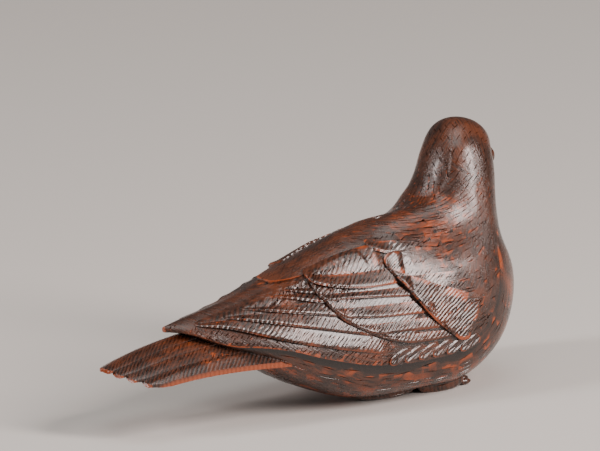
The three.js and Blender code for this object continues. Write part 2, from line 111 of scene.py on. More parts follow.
def flankBreadth(x, z, first=0.0, last=None):
    # half breadth at places in side view
    low = np.full(np.shape(x), first)
    high = np.full(np.shape(x), carving["flankSections"] if last is None else last)
    for _ in range(34):
        middle = (low + high) / 2
        row = sectionAt(middle)
        ahead = ((row[..., 2] - row[..., 0]) * (z - row[..., 1])
                 - (row[..., 3] - row[..., 1]) * (x - row[..., 0])) > 0
        high = np.where(ahead, middle, high)
        low = np.where(ahead, low, middle)
    row = sectionAt(low)
    runX, runZ = row[..., 2] - row[..., 0], row[..., 3] - row[..., 1]
    h = ((x - row[..., 0]) * runX + (z - row[..., 1]) * runZ) / (runX ** 2 + runZ ** 2)
    share = np.clip((h - row[..., 5]) / (1 - row[..., 5]), 0, 1)
    return row[..., 4] * np.maximum(1 - share ** row[..., 6], 0) ** (1 / row[..., 6])


def onFlank(x, z, rise):
    # points on the right flank, moved out along its normal
    step = 0.05
    y = flankBreadth(x, z)
    slopeX = np.clip((flankBreadth(x - step, z) - flankBreadth(x + step, z)) / (2 * step), -3, 3)
    slopeZ = np.clip((flankBreadth(x, z - step) - flankBreadth(x, z + step)) / (2 * step), -3, 3)
    length = np.sqrt(slopeX ** 2 + 1 + slopeZ ** 2)
    return np.stack([x + slopeX / length * rise, -(y + rise / length), z + slopeZ / length * rise], axis=-1)


def solidFromRings(name, rings, flow, plume):
    # rings: (n, m, 3) closed rings; flow: (n, m, 2) pattern place in mm; plume: kind of strokes
    n, m = rings.shape[:2]
    points = np.concatenate([rings.reshape(-1, 3), rings[0].mean(0)[None], rings[-1].mean(0)[None]])
    spots = np.concatenate([flow.reshape(-1, 2), flow[0].mean(0)[None], flow[-1].mean(0)[None]])
    weight = np.broadcast_to(plume, (n, m)) if np.ndim(plume) < 2 else plume
    weight = np.concatenate([weight.ravel(), [weight[0].mean(), weight[-1].mean()]])
    i, j = np.meshgrid(np.arange(n - 1), np.arange(m), indexing="ij")
    a, b = i * m + j, i * m + (j + 1) % m
    quads = np.stack([a, b, b + m, a + m], axis=-1).reshape(-1, 4)
    k = np.arange(m)
    headCap = np.stack([np.full(m, n * m), (k + 1) % m, k], axis=-1)
    endCap = np.stack([np.full(m, n * m + 1), (n - 1) * m + k, (n - 1) * m + (k + 1) % m], axis=-1)
    faces = [*quads.tolist(), *headCap.tolist(), *endCap.tolist()]
    tri = np.concatenate([quads[:, [0, 1, 2]], quads[:, [0, 2, 3]], headCap, endCap])
    volume = np.einsum("ij,ij->", points[tri[:, 0]], np.cross(points[tri[:, 1]], points[tri[:, 2]]))
    if volume < 0:
        faces = [face[::-1] for face in faces]
    mesh = bpy.data.meshes.new(name)
    mesh.from_pydata(points.tolist(), [], faces)
    corners = np.empty(len(mesh.loops), dtype=np.int32)
    mesh.loops.foreach_get("vertex_index", corners)
    layer = mesh.uv_layers.new(name="flow")
    layer.data.foreach_set("uv", spots[corners].astype(np.float32).ravel())
    layer = mesh.uv_layers.new(name="plume")
    kinds = np.stack([weight[corners], np.full(len(corners), random.random())], -1).astype(np.float32)
    layer.data.foreach_set("uv", kinds.ravel())
    return mesh


def mirrored(mesh):
    copy = mesh.copy()
    spots = np.empty(len(copy.vertices) * 3, dtype=np.float32)
    copy.vertices.foreach_get("co", spots)
    spots[1::3] *= -1
    copy.vertices.foreach_set("co", spots)
    copy.flip_normals()
    return copy


bodySkin = {"along": 144, "lower": 12, "upper": 28}


def bodyLoft():
    share = carving["keelShare"]
    q = np.concatenate([np.linspace(0, share, bodySkin["lower"] + 1),
                        np.linspace(share + 1e-4, 1, bodySkin["upper"] + 1)])
    place = np.linspace(0, len(sections) - 1, bodySkin["along"])
    half = sectionPoint(place[:, None], q[None, :])
    right = half * np.array([1, -1, 1])
    left = half[:, -2:0:-1]
    rings = np.concatenate([right, left], axis=1)
    middle = half[:, len(q) // 2]
    run = np.concatenate([[0], np.cumsum(np.linalg.norm(np.diff(middle, axis=0), axis=1))])
    girth = np.concatenate([np.zeros((len(place), 1)),
                            np.cumsum(np.linalg.norm(np.diff(half, axis=1), axis=2), axis=1)], axis=1)
    girths = np.concatenate([-girth, girth[:, -2:0:-1]], axis=1)
    flow = np.stack([np.broadcast_to(run[:, None], girths.shape), girths], axis=-1)
    return solidFromRings("body", rings, flow, 0.0)


# Feathers of the right wing in side view, the lowest first. Each one is a sheet between its free
# edge, which runs from the root along the lower side round the tip and back, and its axis.
# Rise is what the edge stands up by at its start, its tip and its end; reach is the sheet's breadth.
plumage = {
    "spacing": 0.36, "across": 8, "under": 2, "lead": 0.7, "rim": 0.12, "rimWidth": 0.13,
    "backGap": 0.22, "backFade": 1.1, "fade": 0.05, "cover": 1.6, "slit": 0.05, "fewest": 16, "start": -0.1,
    "topSink": 0.04, "crowd": 1.8, "patternTurn": 0.12, "patternStep": (3.7, 1.3), "fullPlume": 0.2,
    "flights": [
        {"edge": [(6.6, 6.95), (0.2, 8.4), (-5.6, 9.8), (-9.8, 11.0), (-13.2, 11.9), (-16.4, 12.4),
                  (-16.9, 12.7), (-15.4, 13.15), (-12.5, 13.8), (-9.0, 14.9), (-5.0, 16.2)],
         "axis": ((-16.8, 12.65), (8.0, 13.2)), "rise": (0.3, 0.4, 0.3), "reach": 2.1},
        {"edge": [(4.8, 9.35), (-1.4, 10.8), (-7.1, 12.0), (-11.0, 12.6), (-13.1, 12.9), (-13.5, 13.15),
                  (-12.2, 13.5), (-9.5, 14.45), (-6.5, 15.5), (-3.0, 16.7)],
         "axis": ((-13.4, 13.05), (8.0, 13.8)), "rise": (0.3, 0.4, 0.3), "reach": 1.9},
        {"edge": [(2.9, 11.65), (-1.5, 12.5), (-6.3, 13.2), (-9.0, 13.45), (-10.4, 13.6), (-10.7, 13.85),
                  (-9.4, 14.2), (-7.0, 15.0), (-4.0, 16.1), (-1.0, 17.1)],
         "axis": ((-10.6, 13.75), (8.0, 14.6)), "rise": (0.3, 0.4, 0.3), "reach": 1.6},
        {"edge": [(2.2, 13.35), (-1.5, 13.9), (-4.9, 14.5), (-7.5, 14.7), (-7.9, 14.95), (-6.6, 15.3),
                  (-4.0, 16.15), (-1.5, 17.0)],
         "axis": ((-7.8, 14.85), (8.0, 15.4)), "rise": (0.3, 0.4, 0.3), "reach": 1.3},
        {"edge": [(2.2, 14.5), (-2.1, 14.9), (-4.7, 15.2), (-5.1, 15.45), (-4.0, 15.8), (-2.0, 16.45),
                  (0.0, 17.2)],
         "axis": ((-5.0, 15.35), (6.0, 16.0)), "rise": (0.3, 0.4, 0.3), "reach": 1.1},
    ],
    "coverts": [
        {"edge": [(10.5, 7.8), (9.0, 8.1), (6.6, 8.7), (3.3, 10.1), (0.3, 12.0), (-1.4, 14.5),
                  (-1.8, 15.9), (-1.5, 17.0), (0.6, 17.8), (3.5, 18.6), (6.5, 19.1), (9.0, 19.3)],
         "axis": ((-2.0, 16.5), (18.0, 11.0)), "rise": (0.35, 0.5, 0.3), "reach": 5.5},
        {"edge": [(16.0, 7.9), (12.0, 7.9), (9.0, 8.1), (6.6, 8.75), (5.0, 9.4), (5.4, 10.2), (9.5, 10.1)],
         "axis": ((5.4, 9.3), (16.0, 8.8)), "rise": (0.25, 0.55, 0.3), "reach": 2.4},
        {"edge": [(14.5, 9.2), (11.0, 9.35), (8.7, 9.5), (5.5, 9.6), (3.8, 9.95), (2.0, 10.9),
                  (1.2, 11.6), (1.6, 12.3), (6.0, 12.2)],
         "axis": ((2.2, 11.0), (15.0, 10.6)), "rise": (0.3, 0.7, 0.3), "reach": 2.6},
        {"edge": [(12.5, 11.2), (8.5, 11.35), (5.3, 11.5), (2.5, 11.8), (0.8, 12.0), (-0.3, 12.9),
                  (-0.9, 13.7), (-0.4, 14.4), (3.0, 14.3)],
         "axis": ((-0.4, 13.1), (14.0, 12.7)), "rise": (0.35, 0.75, 0.35), "reach": 2.6},
        {"edge": [(11.0, 13.3), (6.0, 13.7), (2.5, 13.9), (0.3, 13.9), (-1.0, 14.0), (-1.55, 14.6),
                  (-1.75, 15.3), (-1.2, 15.9), (2.0, 15.8)],
         "axis": ((-1.4, 14.7), (13.0, 14.5)), "rise": (0.35, 0.75, 0.4), "reach": 2.2},
        {"edge": [(9.5, 15.0), (5.5, 14.85), (2.5, 15.0), (0.0, 15.3), (-1.5, 15.7), (-1.85, 16.3),
                  (-1.4, 17.1), (0.8, 17.75), (3.5, 18.4), (6.5, 18.8)],
         "axis": ((-1.8, 16.4), (13.0, 16.9)), "rise": (0.4, 0.85, 0.45), "reach": 3.0},
        {"edge": [(18.5, 7.3), (16.8, 7.3), (16.0, 7.7), (12.8, 10.4), (10.3, 13.6), (9.2, 15.2),
                  (8.1, 17.0), (8.6, 18.0), (11.0, 18.6)],
         "axis": ((8.4, 16.5), (22.0, 11.5)), "rise": (0.45, 0.75, 0.35), "reach": 5.5},
        {"edge": [(20.5, 7.9), (18.1, 7.5), (16.8, 7.4), (16.0, 7.75), (14.6, 9.1), (13.4, 10.3),
                  (13.6, 11.4), (17.0, 11.5)],
         "axis": ((14.8, 8.9), (21.0, 9.6)), "rise": (0.3, 0.8, 0.2), "reach": 2.8, "fade": 0.3},
        {"edge": [(19.5, 10.8), (17.4, 10.8), (15.5, 10.4), (14.2, 10.5), (13.0, 10.8), (11.6, 12.2),
                  (10.7, 13.5), (11.0, 14.4), (15.0, 14.4)],
         "axis": ((11.8, 12.3), (20.0, 12.4)), "rise": (0.3, 0.9, 0.2), "reach": 3.0, "fade": 0.3},
        {"edge": [(17.5, 12.9), (15.0, 13.0), (13.0, 13.2), (11.3, 13.4), (10.3, 13.8), (9.0, 15.4),
                  (8.1, 17.0), (9.0, 17.9), (13.0, 17.9)],
         "axis": ((8.9, 15.6), (18.0, 15.6)), "rise": (0.3, 0.95, 0.2), "reach": 3.4, "fade": 0.3},
        {"edge": [(13.0, 18.6), (10.5, 18.2), (8.9, 18.2), (7.4, 18.6), (6.9, 19.2), (7.1, 19.8),
                  (8.5, 20.3), (10.0, 20.6)],
         "axis": ((7.0, 19.3), (14.0, 19.8)), "rise": (0.2, 0.5, 0.1), "reach": 2.4, "fade": 0.3},
    ],
}
edgeRow = {"from": (6.2, 5.9), "to": (16.4, 6.1), "count": 6, "run": (3.2, 1.2), "half": 0.65,
           "rise": (0.25, 0.36, 0.05), "reach": 1.5}


def curveThrough(points, count):
    # evenly spaced places on a smooth curve through the points
    p = np.asarray(points, dtype=float)
    p = np.concatenate([[2 * p[0] - p[1]], p, [2 * p[-1] - p[-2]]])
    t = np.linspace(0, len(p) - 3 - 1e-9, 40 * len(p))
    i = np.floor(t).astype(int)
    f = (t - i)[:, None]
    a, b, c, d = p[i], p[i + 1], p[i + 2], p[i + 3]
    fine = b + f * ((c - a) / 2 + f * (a - 2.5 * b + 2 * c - d / 2 + f * (1.5 * (b - c) + (d - a) / 2)))
    run = np.concatenate([[0], np.cumsum(np.linalg.norm(np.diff(fine, axis=0), axis=1))])
    even = np.linspace(0, run[-1], count)
    return np.stack([np.interp(even, run, fine[:, k]) for k in (0, 1)], axis=1), run[-1]


def backLine(x):
    return np.interp(x, sections[:12, 2], sections[:12, 3]) - plumage["backGap"]


def lobeEdge(tip, run, half):
    # the free edge of a small feather with a round tip
    tip, run = np.array(tip), np.array(run)
    side = np.array([run[1], -run[0]]) / np.hypot(*run) * half
    places = [(1.0, 1.0), (0.5, 1.0), (0.16, 0.8), (0.0, 0.0), (0.16, -0.8), (0.5, -1.0), (1.0, -1.0)]
    return [tuple(tip + run * along + side * across) for along, across in places]


def feather(name, spec, index):
    edge, length = curveThrough(spec["edge"], 2)
    count = max(plumage["fewest"], int(length / plumage["spacing"]))
    edge, _ = curveThrough(spec["edge"], count)
    tip, root = (np.array(end) for end in spec["axis"])
    long = np.linalg.norm(root - tip)
    way = (root - tip) / long
    along = np.clip((edge - tip) @ way + plumage["lead"], 0.05, long)
    inner = tip + along[:, None] * way
    gap = np.linalg.norm(inner - edge, axis=1)[:, None]
    room = np.minimum(gap - plumage["slit"], plumage["cover"] * spec["reach"])
    inner = edge + (inner - edge) * room / gap
    gap = np.linalg.norm(inner - edge, axis=1)[:, None]
    s = np.linspace(0, 1, count)[:, None]
    fade = spec.get("fade", plumage["fade"])
    first, middle, last = spec["rise"]
    start = plumage["start"]
    stand = np.interp(s, [0, fade, 0.5, 1 - fade, 1], [start, first, middle, last, start])

    def skin(t, sunk):
        d = gap * t
        x = edge[:, :1] + (inner - edge)[:, :1] * t
        z = edge[:, 1:] + (inner - edge)[:, 1:] * t
        top = np.clip((backLine(x) - z) / plumage["backFade"], 0, 1)
        z = np.minimum(z, backLine(x))
        rise = stand * (1 - d / spec["reach"]) - plumage["rim"] * np.exp(-(d / plumage["rimWidth"]) ** 2)
        rise = rise * top - plumage["topSink"] * (1 - top)
        turn = plumage["patternTurn"] * math.sin(index * 2.1)
        u = x * math.cos(turn) + z * math.sin(turn)
        w = z * math.cos(turn) - x * math.sin(turn)
        spots = onFlank(x, z, rise if sunk == 0 else np.full(x.shape, -sunk))
        weights.append(np.clip(rise / plumage["fullPlume"], 0, 1))
        stepU, stepW = plumage["patternStep"]
        return spots, np.stack([u + stepU * index, w + stepW * index], -1)

    weights = []
    top, topFlow = skin((np.linspace(0, 1, plumage["across"] + 1) ** plumage["crowd"])[None, :], 0)
    low, lowFlow = skin(np.linspace(1, 0, plumage["under"] + 1)[None, :], carving["sinkIn"])
    return solidFromRings(name, np.concatenate([top, low], axis=1),
                          np.concatenate([topFlow, lowFlow], axis=1), np.concatenate(weights, axis=1))


def wingFeathers():
    specs = plumage["flights"] + plumage["coverts"]
    for i in range(edgeRow["count"]):
        share = i / (edgeRow["count"] - 1)
        tip = tuple(a + (b - a) * share for a, b in zip(edgeRow["from"], edgeRow["to"]))
        root = (tip[0] + edgeRow["run"][0], tip[1] + edgeRow["run"][1])
        specs = specs + [{"edge": lobeEdge(tip, edgeRow["run"], edgeRow["half"]), "axis": (tip, root),
                          "rise": edgeRow["rise"], "reach": edgeRow["reach"]}]
    return [feather(f"feather{i}", spec, i) for i, spec in enumerate(specs)]


# Feathers of the back, from section to section, over a share of each half section
back = {"from": 3.95, "to": 6.6, "share": 0.17, "rise": 0.35, "along": 32, "across": 32, "tip": 0.15,
        "widen": 2.2, "sink": 1.3, "middle": 0.35, "narrow": 0.85, "under": 4}


def mantle():
    t = np.linspace(0, 1, back["along"] + 1)[:, None]
    v = np.linspace(-1, 1, back["across"] + 1)[None, :]
    place = back["from"] + (back["to"] - back["from"]) * t
    wide = back["share"] * np.sqrt(1 - (1 - np.minimum(back["tip"] + back["widen"] * t, 1)) ** 2)
    top = sectionPoint(place + 0 * v, 1 - wide * np.abs(v))
    side = np.sign(v)
    rise = back["rise"] * (1 - back["sink"] * t) * (back["middle"] + (1 - back["middle"]) * v * v)
    skin = np.stack([top[..., 0], side * (top[..., 1] + rise * 0.5 * np.abs(v)), top[..., 2] + rise], -1)
    few, lower = v[:, ::back["under"]], top[:, ::back["under"]]
    base = np.stack([lower[..., 0], np.sign(few) * lower[..., 1] * back["narrow"],
                     lower[..., 2] - carving["sinkIn"]], -1)[:, ::-1]
    rings = np.concatenate([skin, base], axis=1)
    return solidFromRings("mantle", rings, rings[..., :2], 0.3)


# Tail: overlapping feathers under an arched top, the middle one longest and highest
tail = {
    "tip": -28.8, "root": -6.0, "height": 8.75, "climb": 3.9, "climbLength": 10.0, "half": 5.2,
    "flare": 1.2, "arch": 2.1, "archGain": 0.055, "cutBack": 4.4, "side": 3, "feather": 1.3,
    "halfFeather": 1.35, "step": 0.14, "thick": 0.9, "along": 48, "across": 16,
    "thin": 0.55, "fuller": 3.0, "narrow": 0.75, "settle": 0.6, "crease": 0.06, "under": 0.2, "round": 0.35,
    "bead": 0.12, "beadIn": 0.3, "beadWide": 0.35, "patternStep": 40.0,
}


def tailTop(x, y):
    share = np.abs(y) / tail["half"]
    ridge = tail["height"] + tail["climb"] * (1 - np.exp(-(x - tail["tip"]) / tail["climbLength"]))
    return ridge - (tail["arch"] + tail["archGain"] * (x - tail["tip"])) * share ** 1.4


def tailFeather(index):
    middle = index * tail["feather"]
    below = abs(index) * tail["step"]
    t = (np.linspace(0, 1, tail["along"] + 1) ** 1.5)[:, None]
    v = np.sin(np.linspace(-np.pi / 2, np.pi / 2, tail["across"] + 1))[None, :]
    roundTip = np.minimum(1, tail["narrow"] + tail["fuller"] * t)
    flare = 1 + tail["flare"] / tail["half"] * t
    y = (middle + tail["halfFeather"] * v * roundTip) * flare
    tipBack = tail["cutBack"] * (abs(middle) / tail["half"]) ** 1.5 + tail["round"] * v * v * (1 - t)
    x = tail["tip"] + tipBack + (tail["root"] - tail["tip"] - tipBack) * t
    z = tailTop(x, y) - below * (1 - tail["settle"] * t)
    thick = tail["thick"] * np.minimum(1, tail["thin"] + tail["fuller"] * t)
    beadShare = (np.abs(y) - tail["half"] + tail["beadIn"]) / tail["beadWide"]
    bead = tail["bead"] * np.exp(-beadShare ** 2) if below else 0
    top = np.stack([x, y, z + bead - tail["crease"] * v ** 4], -1)
    low = np.stack([x, y, z - thick + tail["under"] * v ** 4], -1)[:, ::-1]
    rings = np.concatenate([top, low], axis=1)
    flow = np.stack([rings[..., 0] + tail["patternStep"] * index, rings[..., 1] - middle], axis=-1)
    return solidFromRings(f"tail{index}", rings, flow, 1.0)


# Soft feathers under the root of the tail
vent = {"from": -19.5, "to": -4.0, "low": (8.6, 5.4), "half": (2.2, 5.6), "thin": 1.2, "thick": 4.0,
        "along": 40, "around": 48}


def ventSwell():
    t = np.linspace(0, 1, vent["along"] + 1)[:, None]
    a = np.linspace(0, 2 * np.pi, vent["around"] + 1)[None, :-1]
    x = vent["from"] + (vent["to"] - vent["from"]) * t + 0 * a
    half = vent["half"][0] + (vent["half"][1] - vent["half"][0]) * np.sqrt(t)
    low = vent["low"][0] + (vent["low"][1] - vent["low"][0]) * t ** 1.3
    tall = vent["thin"] + vent["thick"] * t
    rings = np.stack([x, half * np.sin(a), low + tall * (1 - np.cos(a)) / 2], -1)
    return solidFromRings("vent", rings, rings[..., :2], 0.0)


def ellipsoid(name, centre, radii, around=40, rows=22, plume=0.5):
    # rings run along X, with small flat caps
    a = np.linspace(0, 2 * np.pi, around + 1)[None, :-1]
    s = np.linspace(-np.pi / 2 + 0.06, np.pi / 2 - 0.06, rows)[:, None]
    rings = np.stack([centre[0] + radii[0] * np.sin(s) + 0 * a,
                      centre[1] + radii[1] * np.cos(s) * np.cos(a),
                      centre[2] + radii[2] * np.cos(s) * np.sin(a)], -1)
    return solidFromRings(name, rings, rings[..., :2], plume)


# Feet, folded flat under the belly
leg = {"from": 4.3, "to": 15.5, "y": 3.6, "height": 1.5, "radius": 2.0, "top": 0.25}
toes = {"count": 3, "spread": 1.35, "from": 13.5, "to": 21.0, "radius": 1.0, "height": 0.9, "top": 0.3,
        "shorter": 0.6}
claw = {"out": 0.25, "up": 0.45, "radii": (0.85, 0.34, 0.36)}


def foot():
    middle = (leg["from"] + leg["to"]) / 2
    parts = [ellipsoid("leg", (middle, -leg["y"], leg["height"]),
                       ((leg["to"] - leg["from"]) / 2, leg["radius"], leg["height"] + leg["top"]))]
    for i in range(toes["count"]):
        y = -leg["y"] + (i - 1) * toes["spread"]
        reach = 0 if i == 1 else toes["shorter"]
        half = (toes["to"] - toes["from"] - reach) / 2
        parts.append(ellipsoid(f"toe{i}", (toes["from"] + half, y, toes["height"]),
                               (half, toes["radius"], toes["height"] + toes["top"]), 24, 30))
        tip = (toes["to"] - reach + claw["out"], y, claw["up"])
        parts.append(ellipsoid(f"claw{i}", tip, claw["radii"], 14, 10))
    return parts


# Face: radius of the lid and the eyeball and how proud they stand, and the swelling over the nostril
eye = {"forward": 2.7, "up": 26.8, "lid": (1.0, 0.22), "eyeball": (0.72, 0.34), "flatness": 0.5}
cere = {"place": (28.9, -0.55, 27.75), "radii": (0.75, 0.5, 0.42)}


def headBreadth(x, z):
    return flankBreadth(np.array(x), np.array(z), carving["flankSections"], len(sections) - 1.0)


def face():
    # the right side of the head
    x = carving["neckX"] + eye["forward"]
    breadth = float(headBreadth(x, eye["up"]))
    parts = []
    for name in ("lid", "eyeball"):
        radius, proud = eye[name]
        centre = (x, radius * eye["flatness"] - proud - breadth, eye["up"])
        parts.append(ellipsoid(name, centre, (radius, radius * eye["flatness"], radius), 36, 26, 0.6))
    return parts + [ellipsoid("cere", cere["place"], cere["radii"], 20, 14, 0.6)]


# Cord passage: a curved tunnel with a wider mouth behind and a worn rim in front
cordHole = {"x": 6.2, "spread": 5.2, "radius": 1.45, "past": 0.35, "along": 48, "around": 32,
            "mouth": (2.3, 2.3, 2.4), "mouthUp": 0.8, "rim": (1.85, 1.85, 0.75), "rimUp": 0.35}


def tunnel():
    a = np.linspace(-cordHole["past"], np.pi + cordHole["past"], cordHole["along"] + 1)[:, None]
    b = np.linspace(0, 2 * np.pi, cordHole["around"] + 1)[None, :-1]
    reach = cordHole["spread"] + cordHole["radius"] * np.cos(b)
    rings = np.stack([cordHole["x"] - reach * np.cos(a), cordHole["radius"] * np.sin(b) + 0 * a,
                      reach * np.sin(a)], -1)
    return solidFromRings("tunnel", rings, rings[..., :2], 0.7)


floorCut = {"half": 40.0, "depth": 10.0}


def floorBlock():
    half = floorCut["half"]
    ring = np.array([(-half, -half), (half, -half), (half, half), (-half, half)])
    rings = np.stack([np.concatenate([ring, np.full((4, 1), z)], axis=1) for z in (-floorCut["depth"], 0.0)])
    return solidFromRings("floorBlock", rings, rings[..., :2], 0.9)


def combine(pieces, operation, base=None):
    # joins or cuts solids one after another
    holder = bpy.data.objects.new("work", base if base is not None else pieces.pop(0))
    bpy.context.scene.collection.objects.link(holder)
    tool = bpy.data.objects.new("tool", pieces[0])
    bpy.context.scene.collection.objects.link(tool)
    for piece in pieces:
        tool.data = piece
        change = holder.modifiers.new("change", "BOOLEAN")
        change.operation = operation
        change.solver = "MANIFOLD"
        change.object = tool
        graph = bpy.context.evaluated_depsgraph_get()
        made = bpy.data.meshes.new_from_object(holder.evaluated_get(graph))
        holder.modifiers.clear()
        holder.data = made
    result = holder.data
    bpy.data.objects.remove(holder)
    bpy.data.objects.remove(tool)
    return result


# Incised strokes: spacing along and across in mm, half lengths, slant in degrees, and stray, which is
# how far chance moves or turns a stroke. Other seeds or spacings can make the last cut very slow.
strokes = {
    "width": 0.08, "depth": 0.16, "variation": 0.35, "seed": 12,
    "wing": {"spacing": 0.56, "slant": 36.0, "half": 0.62, "rows": (0.34, 0.78), "share": 0.8,
             "stray": (0.12, 9), "belowBack": 0.9, "broadest": 5.0},
    "body": {"places": (3.6, 17.0), "along": 1.55, "across": 0.85, "half": 0.85, "slant": 30.0},
    "belly": {"places": (4.0, 10.0), "along": 3.0, "across": 0.85, "half": 1.5},
    "skin": {"stray": (0.12, 0.012, 8), "highest": 0.985},
    "tail": {"spacing": 0.6, "half": 0.75, "slant": 38.0, "rows": (0.55, 1.9, 3.2, 4.5), "tipGap": 0.7,
             "to": -12.0, "stray": (0.1, 0.15, 6)},
    "beak": [(30.9, 25.92), (30.1, 26.12), (29.3, 26.38), (28.55, 26.7), (29.55, 27.05)],
    "beakHalf": (0.6, 0.6, 0.6, 0.55, 0.3), "beakFall": -0.3,
    "start": 1.6, "end": 3.5, "facing": 0.35,
}
wingOutline = [(-20.0, 12.4), (-13.5, 9.6), (-5.2, 7.8), (3.3, 5.2), (12.9, 4.2), (19.5, 5.4),
               (20.5, 9.0), (18.0, 13.0), (14.0, 17.6), (9.0, 19.8), (2.0, 18.6), (-6.0, 15.9),
               (-17.0, 13.2)]
lowestFlight = {"edge": [(7.0, 5.4), (3.3, 5.8), (-1.1, 7.3), (-5.2, 8.3), (-9.9, 9.5), (-14.4, 10.2),
                         (-19.0, 12.0)],
                "axis": ((-19.0, 12.2), (8.0, 12.0)), "reach": 2.2}  # the body itself, for its strokes


def inside(outline, x, z):
    found = np.zeros(np.shape(x), dtype=bool)
    for (ax, az), (bx, bz) in zip(outline, outline[1:] + outline[:1]):
        crosses = (az > z) != (bz > z)
        found ^= crosses & (x < (bx - ax) * (z - az) / (bz - az + 1e-12) + ax)
    return found


def wingStrokes(chance):
    spec = strokes["wing"]
    strayMm, strayDegrees = spec["stray"]
    made = []
    for feather_ in [lowestFlight] + plumage["flights"] + plumage["coverts"]:
        if feather_["reach"] > spec["broadest"]:
            continue  # the broad sheets lie under other feathers
        _, length = curveThrough(feather_["edge"], 2)
        edge, _ = curveThrough(feather_["edge"], int(length / spec["spacing"]))
        tip, root = (np.array(end) for end in feather_["axis"])
        way = (root - tip) / np.linalg.norm(root - tip)
        inner = tip + np.clip((edge - tip) @ way + plumage["lead"], 0.05, None)[:, None] * way
        inward = (inner - edge) / np.linalg.norm(inner - edge, axis=1)[:, None]
        room = np.linalg.norm(inner - edge, axis=1)
        for row in spec["rows"]:
            depth = row * feather_["reach"] * spec["share"]
            centre = edge + inward * depth + chance.uniform(-strayMm, strayMm, edge.shape)
            slant = np.radians(spec["slant"] + chance.uniform(-strayDegrees, strayDegrees, len(edge)))
            fits = (room > depth) & (centre[:, 1] < backLine(centre[:, 0]) - spec["belowBack"])
            made.append(np.concatenate([centre, np.cos(slant)[:, None], np.sin(slant)[:, None]], 1)[fits])
    made = np.concatenate(made)
    x, z, dx, dz = made.T
    centre = onFlank(x, z, np.zeros(x.shape))
    outward = onFlank(x, z, np.ones(x.shape)) - centre
    along = onFlank(x + dx * 0.3, z + dz * 0.3, np.zeros(x.shape)) - centre
    return centre, outward, along, spec["half"] * chance.uniform(0.7, 1.15, len(x))


def bodyStrokes(chance, spec, share, skipWing):
    made = []
    strayAlong, strayAround, strayDegrees = strokes["skin"]["stray"]
    place = np.linspace(*spec["places"], 400)
    middle = sectionPoint(place, np.full(place.shape, sum(share) / 2))
    run = np.concatenate([[0], np.cumsum(np.linalg.norm(np.diff(middle, axis=0), axis=1))])
    for row, distance in enumerate(np.arange(0, run[-1], spec["along"])):
        here = float(np.interp(distance, run, place))
        belt = sectionPoint(np.full(60, here), np.linspace(*share, 60))
        girth = np.linalg.norm(np.diff(belt, axis=0), axis=1).sum()
        count = max(2, int(girth / spec["across"]))
        q = share[0] + (share[1] - share[0]) * (np.arange(count) + 0.5 * (row % 2) + 0.25) / count
        made.append(np.stack([np.full(count, here), q], 1))
    made = np.concatenate(made)
    made += chance.uniform(-1, 1, made.shape) * (strayAlong, strayAround)
    place, q = made[:, 0], np.clip(made[:, 1], share[0], strokes["skin"]["highest"])
    centre = sectionPoint(place, q)
    tangent = sectionPoint(place + 0.05, q) - sectionPoint(place - 0.05, q)
    around = sectionPoint(place, q + 0.008) - sectionPoint(place, q - 0.008)
    tangent /= np.linalg.norm(tangent, axis=1)[:, None]
    around /= np.linalg.norm(around, axis=1)[:, None]
    flip = np.array([1, -1, 1])
    tangent, around, centre = tangent * flip, around * flip, centre * flip
    outward = np.cross(around, tangent)
    outward *= np.sign(np.einsum("ij,ij->i", outward, centre * (0, 1, 0)))[:, None]
    slant = np.radians(spec.get("slant", 0) + chance.uniform(-strayDegrees, strayDegrees, len(q)))[:, None]
    along = tangent * np.cos(slant) - around * np.sin(slant)
    keep = ~(inside(wingOutline, centre[:, 0], centre[:, 2]) & skipWing)
    half = spec["half"] * chance.uniform(0.65, 1.2, len(q))
    return centre[keep], outward[keep], along[keep], half[keep]


def tailStrokes(chance):
    spec = strokes["tail"]
    strayAlong, strayAcross, strayDegrees = spec["stray"]
    made = []
    for y in spec["rows"]:
        first = tail["tip"] + spec["tipGap"] + tail["cutBack"] * (y / tail["half"]) ** 1.5
        x = np.arange(first, spec["to"], spec["spacing"]) + chance.uniform(-strayAlong, strayAlong)
        made.append(np.stack([x, -y + chance.uniform(-strayAcross, strayAcross, len(x))], 1))
    x, y = np.concatenate(made).T
    centre = np.stack([x, y, tailTop(x, y)], 1)
    slant = np.radians(spec["slant"] + chance.uniform(-strayDegrees, strayDegrees, len(x)))
    far = np.stack([x + np.cos(slant) * 0.3, y + np.sin(slant) * 0.3], 1)
    along = np.stack([far[:, 0], far[:, 1], tailTop(far[:, 0], far[:, 1])], 1) - centre
    outward = np.tile((0.0, 0.0, 1.0), (len(x), 1))
    return centre, outward, along, spec["half"] * chance.uniform(0.7, 1.1, len(x))


def beakStrokes():
    # the line between the mandibles and the nostril
    x, z = np.array(strokes["beak"]).T
    centre = np.stack([x, -headBreadth(x, z), z], 1)
    outward = np.tile((0.0, -1.0, 0.0), (len(x), 1))
    along = np.tile((1.0, 0.0, strokes["beakFall"]), (len(x), 1))
    return centre, outward, along, np.array(strokes["beakHalf"])


def adder(nodes):
    def node(kind, **values):
        made = nodes.new(kind)
        for key, value in values.items():
            setattr(made, key, value)
        return made

    return node


